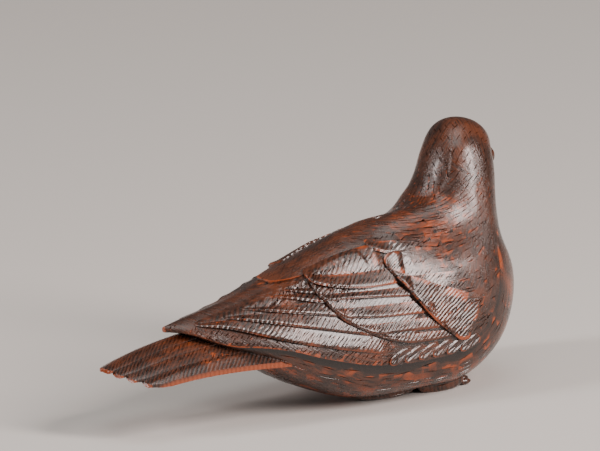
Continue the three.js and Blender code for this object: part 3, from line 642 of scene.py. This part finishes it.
def strokeTree():
    tree = bpy.data.node_groups.new("incisedStrokes", "GeometryNodeTree")
    face = tree.interface
    face.new_socket("Places", in_out="INPUT", socket_type="NodeSocketGeometry")
    for name, kind in (("Width", "Float"), ("Depth", "Float"), ("Variation", "Float"), ("Seed", "Int"),
                       ("Material", "Material")):
        face.new_socket(name, in_out="INPUT", socket_type="NodeSocket" + kind)
    face.new_socket("Strokes", in_out="OUTPUT", socket_type="NodeSocketGeometry")

    node = adder(tree.nodes)
    source, result = node("NodeGroupInput"), node("NodeGroupOutput")
    sliver = node("GeometryNodeMeshUVSphere")
    sliver.inputs["Segments"].default_value = 4
    sliver.inputs["Rings"].default_value = 2
    sliver.inputs["Radius"].default_value = 1
    along = node("GeometryNodeInputNamedAttribute", data_type="FLOAT_VECTOR")
    along.inputs["Name"].default_value = "along"
    outward = node("GeometryNodeInputNamedAttribute", data_type="FLOAT_VECTOR")
    outward.inputs["Name"].default_value = "outward"
    half = node("GeometryNodeInputNamedAttribute", data_type="FLOAT")
    half.inputs["Name"].default_value = "half"
    turn = node("FunctionNodeAxesToRotation", primary_axis="Z", secondary_axis="X")
    spread = node("ShaderNodeMath", operation="SUBTRACT")
    spread.inputs[0].default_value = 1
    chance = node("FunctionNodeRandomValue", data_type="FLOAT")
    scale = node("ShaderNodeCombineXYZ")
    width = node("ShaderNodeMath", operation="MULTIPLY")
    deep = node("ShaderNodeMath", operation="MULTIPLY")
    instances = node("GeometryNodeInstanceOnPoints")
    real = node("GeometryNodeRealizeInstances")
    finish = node("GeometryNodeSetMaterial")
    link = tree.links.new
    link(source.outputs["Variation"], spread.inputs[1])
    link(spread.outputs[0], chance.inputs[2])
    chance.inputs[3].default_value = 1
    link(source.outputs["Seed"], chance.inputs["Seed"])
    link(source.outputs["Width"], width.inputs[0])
    link(chance.outputs[1], width.inputs[1])
    link(source.outputs["Depth"], deep.inputs[0])
    link(chance.outputs[1], deep.inputs[1])
    link(half.outputs[0], scale.inputs[0])
    link(width.outputs[0], scale.inputs[1])
    link(deep.outputs[0], scale.inputs[2])
    link(outward.outputs[0], turn.inputs[0])
    link(along.outputs[0], turn.inputs[1])
    link(source.outputs["Places"], instances.inputs["Points"])
    link(sliver.outputs["Mesh"], instances.inputs["Instance"])
    link(turn.outputs[0], instances.inputs["Rotation"])
    link(scale.outputs[0], instances.inputs["Scale"])
    link(instances.outputs[0], real.inputs[0])
    link(real.outputs[0], finish.inputs["Geometry"])
    link(source.outputs["Material"], finish.inputs["Material"])
    link(finish.outputs[0], result.inputs[0])
    return tree


def strokeCutters(solid, material):
    tree = strokeTree()
    skin = BVHTree.FromPolygons([v.co for v in solid.vertices], [p.vertices for p in solid.polygons])
    groups = []
    for side in (1, -1):
        chance = np.random.default_rng(strokes["seed"] + side)
        sets = [wingStrokes(chance),
                bodyStrokes(chance, strokes["body"], (carving["keelShare"], 1.0), True),
                bodyStrokes(chance, strokes["belly"], (0.1, 0.34), False),
                tailStrokes(chance), beakStrokes()]
        centre, outward, along, half = (np.concatenate(part) for part in zip(*sets))
        flip = np.array([1, side, 1])
        centre, outward, along = centre * flip, outward * flip, along * flip
        outward /= np.linalg.norm(outward, axis=1)[:, None]
        found = []
        for i in range(len(centre)):
            start = Vector(centre[i] + outward[i] * strokes["start"])
            hit, normal, _, _ = skin.ray_cast(start, Vector(-outward[i]), strokes["end"])
            if hit is not None and normal.dot(Vector(outward[i])) > strokes["facing"]:
                found.append((*hit, *normal, *along[i], half[i]))
        groups.append(np.array(found))
    found = np.concatenate(groups)
    mesh = bpy.data.meshes.new("strokePlaces")
    mesh.from_pydata(found[:, :3].tolist(), [], [])
    for name, columns in (("outward", slice(3, 6)), ("along", slice(6, 9))):
        layer = mesh.attributes.new(name, "FLOAT_VECTOR", "POINT")
        layer.data.foreach_set("vector", found[:, columns].astype(np.float32).ravel())
    layer = mesh.attributes.new("half", "FLOAT", "POINT")
    layer.data.foreach_set("value", found[:, 9].astype(np.float32))
    holder = bpy.data.objects.new("strokes", mesh)
    bpy.context.scene.collection.objects.link(holder)
    change = holder.modifiers.new("strokes", "NODES")
    change.node_group = tree
    values = {"Width": strokes["width"], "Depth": strokes["depth"], "Variation": strokes["variation"],
              "Seed": strokes["seed"], "Material": material}
    for item in tree.interface.items_tree:
        if item.name in values:
            change[item.identifier] = values[item.name]
    graph = bpy.context.evaluated_depsgraph_get()
    cutters = bpy.data.meshes.new_from_object(holder.evaluated_get(graph))
    bpy.data.objects.remove(holder)
    print("strokes", len(found), "cutter faces", len(cutters.polygons))
    return cutters


def carve(material):
    right = wingFeathers() + foot() + face()
    left = [mirrored(mesh) for mesh in right]
    tailFeathers = [tailFeather(i * side) for i in range(tail["side"], 0, -1) for side in (1, -1)]
    tailFeathers.append(tailFeather(0))
    solid = combine([bodyLoft(), mantle(), *right, *left, *tailFeathers, ventSwell()], "UNION")
    behind, ahead = cordHole["x"] - cordHole["spread"], cordHole["x"] + cordHole["spread"]
    mouth = ellipsoid("mouth", (behind, 0, cordHole["mouthUp"]), cordHole["mouth"], 40, 30, 0.7)
    rim = ellipsoid("rim", (ahead, 0, cordHole["rimUp"]), cordHole["rim"], 32, 20, 0.7)
    solid = combine([tunnel(), mouth, rim, floorBlock()], "DIFFERENCE", solid)
    print("joined", len(solid.vertices), "points")
    return combine([strokeCutters(solid, material)], "DIFFERENCE", solid)


def turnNeck(spots):
    x = spots[:, 0] - carving["neckX"]
    low, high = carving["neckLow"], carving["neckHigh"]
    share = np.clip((spots[:, 2] - low) / (high - low), 0, 1)
    share = share * share * (3 - 2 * share)
    fade = np.clip((-x - carving["neckNear"]) / (carving["neckFar"] - carving["neckNear"]), 0, 1)
    fade = 1 - fade * fade * (3 - 2 * fade)
    angle = math.radians(carving["headTurn"]) * share * fade
    turned = spots.copy()
    turned[:, 0] = carving["neckX"] + x * np.cos(angle) - spots[:, 1] * np.sin(angle)
    turned[:, 1] = x * np.sin(angle) + spots[:, 1] * np.cos(angle)
    return turned


def place(mesh):
    spots = np.empty(len(mesh.vertices) * 3, dtype=np.float32)
    mesh.vertices.foreach_get("co", spots)
    spots = turnNeck(spots.reshape(-1, 3).astype(float))
    low, high = (np.array(corner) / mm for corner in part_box("carved_pigeon"))
    reach = spots.max(0) - spots.min(0)
    print("fine carving", spots.min(0).round(3), spots.max(0).round(3), "solid", low.round(3), high.round(3))
    spots = low + (spots - spots.min(0)) * np.minimum((high - low) / reach, 1)
    mesh.vertices.foreach_set("co", (spots * mm).astype(np.float32).ravel())
    mesh.update()
    return spots


# smoothing rounds for the relief that drives worn edges and the dark stain with painted shade in hollows
wearAndShadeRelief = {"keep": 0.4, "nearRounds": 14, "softRounds": 1, "wideRounds": 40}


def smoothed(values, edges, count, rounds):
    degree = np.bincount(edges.ravel(), minlength=count).astype(float)
    for _ in range(rounds):
        total = np.stack([np.bincount(edges[:, 0], column[edges[:, 1]], count)
                          + np.bincount(edges[:, 1], column[edges[:, 0]], count) for column in values.T], 1)
        values = values * wearAndShadeRelief["keep"] + (1 - wearAndShadeRelief["keep"]) * total / degree[:, None]
    return values


def markWearAndShade(mesh, spots):
    # how far each point stands out of, or lies below, the smoothed surface, in mm
    count = len(mesh.vertices)
    edges = np.empty(len(mesh.edges) * 2, dtype=np.int32)
    mesh.edges.foreach_get("vertices", edges)
    edges = edges.reshape(-1, 2)
    normals = np.empty(count * 3, dtype=np.float32)
    mesh.vertices.foreach_get("normal", normals)
    normals = normals.reshape(-1, 3)
    near = smoothed(spots, edges, count, wearAndShadeRelief["nearRounds"])
    relief = np.einsum("ij,ij->i", spots - near, normals)[:, None]
    relief = smoothed(relief, edges, count, wearAndShadeRelief["softRounds"])
    relief = (relief - smoothed(relief, edges, count, wearAndShadeRelief["wideRounds"]))[:, 0]
    # relief marks the worn orange edges and the hollows that get dark stain and painted shade
    layer = mesh.attributes.new("relief", "FLOAT", "POINT")
    layer.data.foreach_set("value", relief.astype(np.float32))
    print("relief", np.percentile(relief, [1, 10, 50, 90, 99]).round(3))


def buildPigeon(material):
    mesh = carve(material)
    mesh.name = "pigeonCarving"
    mesh.calc_loop_triangles()
    print("carved", len(mesh.vertices), "points", len(mesh.loop_triangles), "triangles")
    spots = place(mesh)
    markWearAndShade(mesh, spots)
    mesh.shade_smooth()
    mesh.set_sharp_from_angle(angle=math.radians(carving["sharpAngle"]))
    piece = bpy.data.objects.new("pigeonCarving", mesh)
    bpy.context.scene.collection.objects.link(piece)
    return piece


# Stained boxwood: colours, then the patterns, and where relief in mm turns into worn edge or into dark stain
# with painted shade in the grooves
wood = {
    "dark": (0.012, 0.006, 0.004, 1), "body": (0.05, 0.018, 0.010, 1), "worn": (0.25, 0.048, 0.010, 1),
    "rust": (0.13, 0.034, 0.011, 1), "blotchScale": 260, "poreScale": 1400, "hairStretch": (0.55, 4.2, 1),
    "barbSpacing": 0.4, "barbAngle": 38.0, "barbBands": 0.314, "barbDistortion": 3.0,
    "edge": (0.035, 0.12), "edgeStray": 0.04, "stainAndShadeInGrooves": (0.02, 0.1), "blotch": (0.5, 0.68), "rustShare": 0.6,
    "stroke": (0.25, 0.7), "feather": (0.1, 0.95),
    "roughness": (0.2, 0.36), "coat": 0.3, "coatRoughness": 0.16, "specular": 0.55,
    "bumpStrength": 0.4, "bumpHeight": 0.00016,
}


def stainedBoxwoodWithPaintedShade():
    material = bpy.data.materials.new("stainedBoxwoodWithPaintedShade")
    material.use_nodes = True
    nodes, links = material.node_tree.nodes, material.node_tree.links
    shader = nodes["Principled BSDF"]
    node = adder(nodes)

    def math_(operation, *inputs, clamp=False):
        made = node("ShaderNodeMath", operation=operation, use_clamp=clamp)
        for i, value in enumerate(inputs):
            if isinstance(value, (int, float)):
                made.inputs[i].default_value = value
            else:
                links.new(value, made.inputs[i])
        return made.outputs[0]

    def mix(factor, a, b):
        made = node("ShaderNodeMix", data_type="RGBA")
        for socket, value in ((made.inputs["Factor"], factor), (made.inputs["A"], a), (made.inputs["B"], b)):
            if isinstance(value, (tuple, float)):
                socket.default_value = value
            else:
                links.new(value, socket)
        return made.outputs["Result"]

    def ramp(value, reach):
        made = node("ShaderNodeMapRange", clamp=True, interpolation_type="SMOOTHSTEP")
        links.new(value, made.inputs["Value"])
        made.inputs["From Min"].default_value, made.inputs["From Max"].default_value = reach
        return made.outputs["Result"]

    relief = node("ShaderNodeAttribute", attribute_name="relief").outputs["Fac"]
    flow = node("ShaderNodeUVMap", uv_map="flow").outputs["UV"]
    plume = node("ShaderNodeSeparateXYZ")
    links.new(node("ShaderNodeUVMap", uv_map="plume").outputs["UV"], plume.inputs[0])
    isFeather = ramp(plume.outputs["X"], wood["feather"])

    place_ = node("ShaderNodeTexCoord").outputs["Object"]
    large = node("ShaderNodeTexNoise")
    large.inputs["Scale"].default_value = wood["blotchScale"]
    large.inputs["Detail"].default_value = 5
    links.new(place_, large.inputs["Vector"])
    fine = node("ShaderNodeTexNoise")
    fine.inputs["Scale"].default_value = wood["poreScale"]
    fine.inputs["Detail"].default_value = 3
    links.new(place_, fine.inputs["Vector"])

    # long strokes that follow the plumage
    stretch = node("ShaderNodeMapping")
    stretch.inputs["Scale"].default_value = wood["hairStretch"]
    links.new(flow, stretch.inputs["Vector"])
    hair = node("ShaderNodeTexNoise")
    hair.inputs["Scale"].default_value = 1.0
    hair.inputs["Detail"].default_value = 4
    hair.inputs["Roughness"].default_value = 0.65
    links.new(stretch.outputs[0], hair.inputs["Vector"])

    # slanted barbs on the feathers
    turn = node("ShaderNodeMapping")
    turn.inputs["Rotation"].default_value = (0, 0, -math.radians(wood["barbAngle"]))
    turn.inputs["Scale"].default_value = (1 / wood["barbSpacing"], 1 / wood["barbSpacing"], 1)
    links.new(flow, turn.inputs["Vector"])
    barb = node("ShaderNodeTexWave", wave_type="BANDS", bands_direction="Y", wave_profile="SIN")
    barb.inputs["Scale"].default_value = wood["barbBands"]
    barb.inputs["Distortion"].default_value = wood["barbDistortion"]
    barb.inputs["Detail"].default_value = 3
    barb.inputs["Detail Scale"].default_value = 0.8
    links.new(turn.outputs[0], barb.inputs["Vector"])

    stroke = mix(isFeather, hair.outputs["Fac"], barb.outputs["Fac"])
    strokeValue = node("ShaderNodeSeparateColor")
    links.new(stroke, strokeValue.inputs[0])
    strokeValue = strokeValue.outputs[0]

    # worn to orange on raised edges; in the grooves dark stain and painted shade
    stray = math_("MULTIPLY", math_("SUBTRACT", large.outputs["Fac"], 0.5), wood["edgeStray"])
    edge = ramp(math_("ADD", relief, stray), wood["edge"])
    # painted shade: hollows below the smoothed surface are darkened for the shade that falls in them,
    # together with the dark stain there
    stainAndShadeInGrooves = ramp(math_("MULTIPLY", relief, -1.0), wood["stainAndShadeInGrooves"])
    blotch = ramp(math_("ADD", math_("MULTIPLY", large.outputs["Fac"], 0.6),
                        math_("MULTIPLY", hair.outputs["Fac"], 0.5)), wood["blotch"])
    base = mix(ramp(strokeValue, wood["stroke"]), wood["dark"], wood["body"])
    base = mix(math_("MULTIPLY", blotch, wood["rustShare"]), base, wood["rust"])
    base = mix(edge, base, wood["worn"])
    # the dark colour laid over the grooves is partly real stain and partly painted shade
    base = mix(stainAndShadeInGrooves, base, wood["dark"])
    links.new(base, shader.inputs["Base Color"])

    rough = node("ShaderNodeMapRange")
    links.new(fine.outputs["Fac"], rough.inputs["Value"])
    rough.inputs["To Min"].default_value, rough.inputs["To Max"].default_value = wood["roughness"]
    links.new(rough.outputs["Result"], shader.inputs["Roughness"])
    shader.inputs["Coat Weight"].default_value = wood["coat"]
    shader.inputs["Coat Roughness"].default_value = wood["coatRoughness"]
    shader.inputs["Specular IOR Level"].default_value = wood["specular"]

    bump = node("ShaderNodeBump")
    bump.inputs["Strength"].default_value = wood["bumpStrength"]
    bump.inputs["Distance"].default_value = wood["bumpHeight"]
    links.new(strokeValue, bump.inputs["Height"])
    links.new(bump.outputs[0], shader.inputs["Normal"])
    return material


# Stage, light and camera
stage = {"size": 3.0, "color": (0.5, 0.485, 0.46, 1), "roughness": 0.9}


def addStage():
    mesh = bpy.data.meshes.new("floor")
    s = stage["size"] / 2
    mesh.from_pydata([(-s, -s, 0), (s, -s, 0), (s, s, 0), (-s, s, 0)], [], [(0, 1, 2, 3)])
    floor = bpy.data.objects.new("floor", mesh)
    bpy.context.scene.collection.objects.link(floor)
    material = bpy.data.materials.new("paleFloor")
    material.use_nodes = True
    shader = material.node_tree.nodes["Principled BSDF"]
    shader.inputs["Base Color"].default_value = stage["color"]
    shader.inputs["Roughness"].default_value = stage["roughness"]
    mesh.materials.append(material)


# The aim shows at a place given in pixels from the left and the top of the photo
view = {"azimuth": -35.4, "elevation": 14.7, "distance": 1.6, "frameWidth": 0.072, "sensor": 36.0,
        "size": (600, 451), "place": (302.0, 306.0), "aim": (-0.00025, 0.0, 0.012)}


def addCamera():
    a, e = math.radians(view["azimuth"]), math.radians(view["elevation"])
    toCamera = Vector((math.sin(a) * math.cos(e), -math.cos(a) * math.cos(e), math.sin(e)))
    right = Vector((math.cos(a), math.sin(a), 0))
    up = toCamera.cross(right)
    aim = Vector(view["aim"])
    pixel = view["frameWidth"] / view["size"][0]
    aim = aim + right * (view["size"][0] / 2 - view["place"][0]) * pixel
    aim = aim - up * (view["size"][1] / 2 - view["place"][1]) * pixel
    data = bpy.data.cameras.new("camera")
    data.sensor_width = view["sensor"]
    data.lens = view["sensor"] * view["distance"] / view["frameWidth"]
    data.clip_end = 20
    camera = bpy.data.objects.new("camera", data)
    bpy.context.scene.collection.objects.link(camera)
    camera.location = aim + toCamera * view["distance"]
    camera.rotation_euler = (aim - camera.location).to_track_quat("-Z", "Y").to_euler()
    bpy.context.scene.camera = camera


lights = [
    {"name": "keyBox", "azimuth": 28.0, "elevation": 34.0, "distance": 0.5, "size": (0.13, 0.34),
     "watts": 4.8, "color": (1.0, 0.88, 0.84)},
    {"name": "sideBox", "azimuth": -103.0, "elevation": 24.0, "distance": 0.5, "size": (0.07, 0.34),
     "watts": 2.4, "color": (1.0, 0.9, 0.88)},
    {"name": "topBox", "azimuth": -35.0, "elevation": 84.0, "distance": 0.7, "size": (0.4, 0.4),
     "watts": 1.6, "color": (1.0, 0.98, 0.95)},
]
room = {"middle": (0, 0, 0.014), "color": (0.8, 0.79, 0.77, 1), "strength": 0.16}


def addLights():
    for spec in lights:
        a, e = math.radians(spec["azimuth"]), math.radians(spec["elevation"])
        way = Vector((math.sin(a) * math.cos(e), -math.cos(a) * math.cos(e), math.sin(e)))
        data = bpy.data.lights.new(spec["name"], "AREA")
        data.shape = "RECTANGLE"
        data.size, data.size_y = spec["size"]
        data.energy = spec["watts"]
        data.color = spec["color"]
        light = bpy.data.objects.new(spec["name"], data)
        bpy.context.scene.collection.objects.link(light)
        light.location = Vector(room["middle"]) + way * spec["distance"]
        light.rotation_euler = (-way).to_track_quat("-Z", "Y").to_euler()
    world = bpy.data.worlds.new("softRoom")
    world.use_nodes = True
    background = world.node_tree.nodes["Background"]
    background.inputs["Color"].default_value = room["color"]
    background.inputs["Strength"].default_value = room["strength"]
    bpy.context.scene.world = world


addCamera()
addStage()
addLights()
print("stage set")
boxwood = stainedBoxwoodWithPaintedShade()
pigeon = buildPigeon(boxwood)
pigeon.data.materials.clear()
pigeon.data.materials.append(boxwood)
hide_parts("carved_pigeon")
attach(pigeon, "root")
print("pigeon finished")
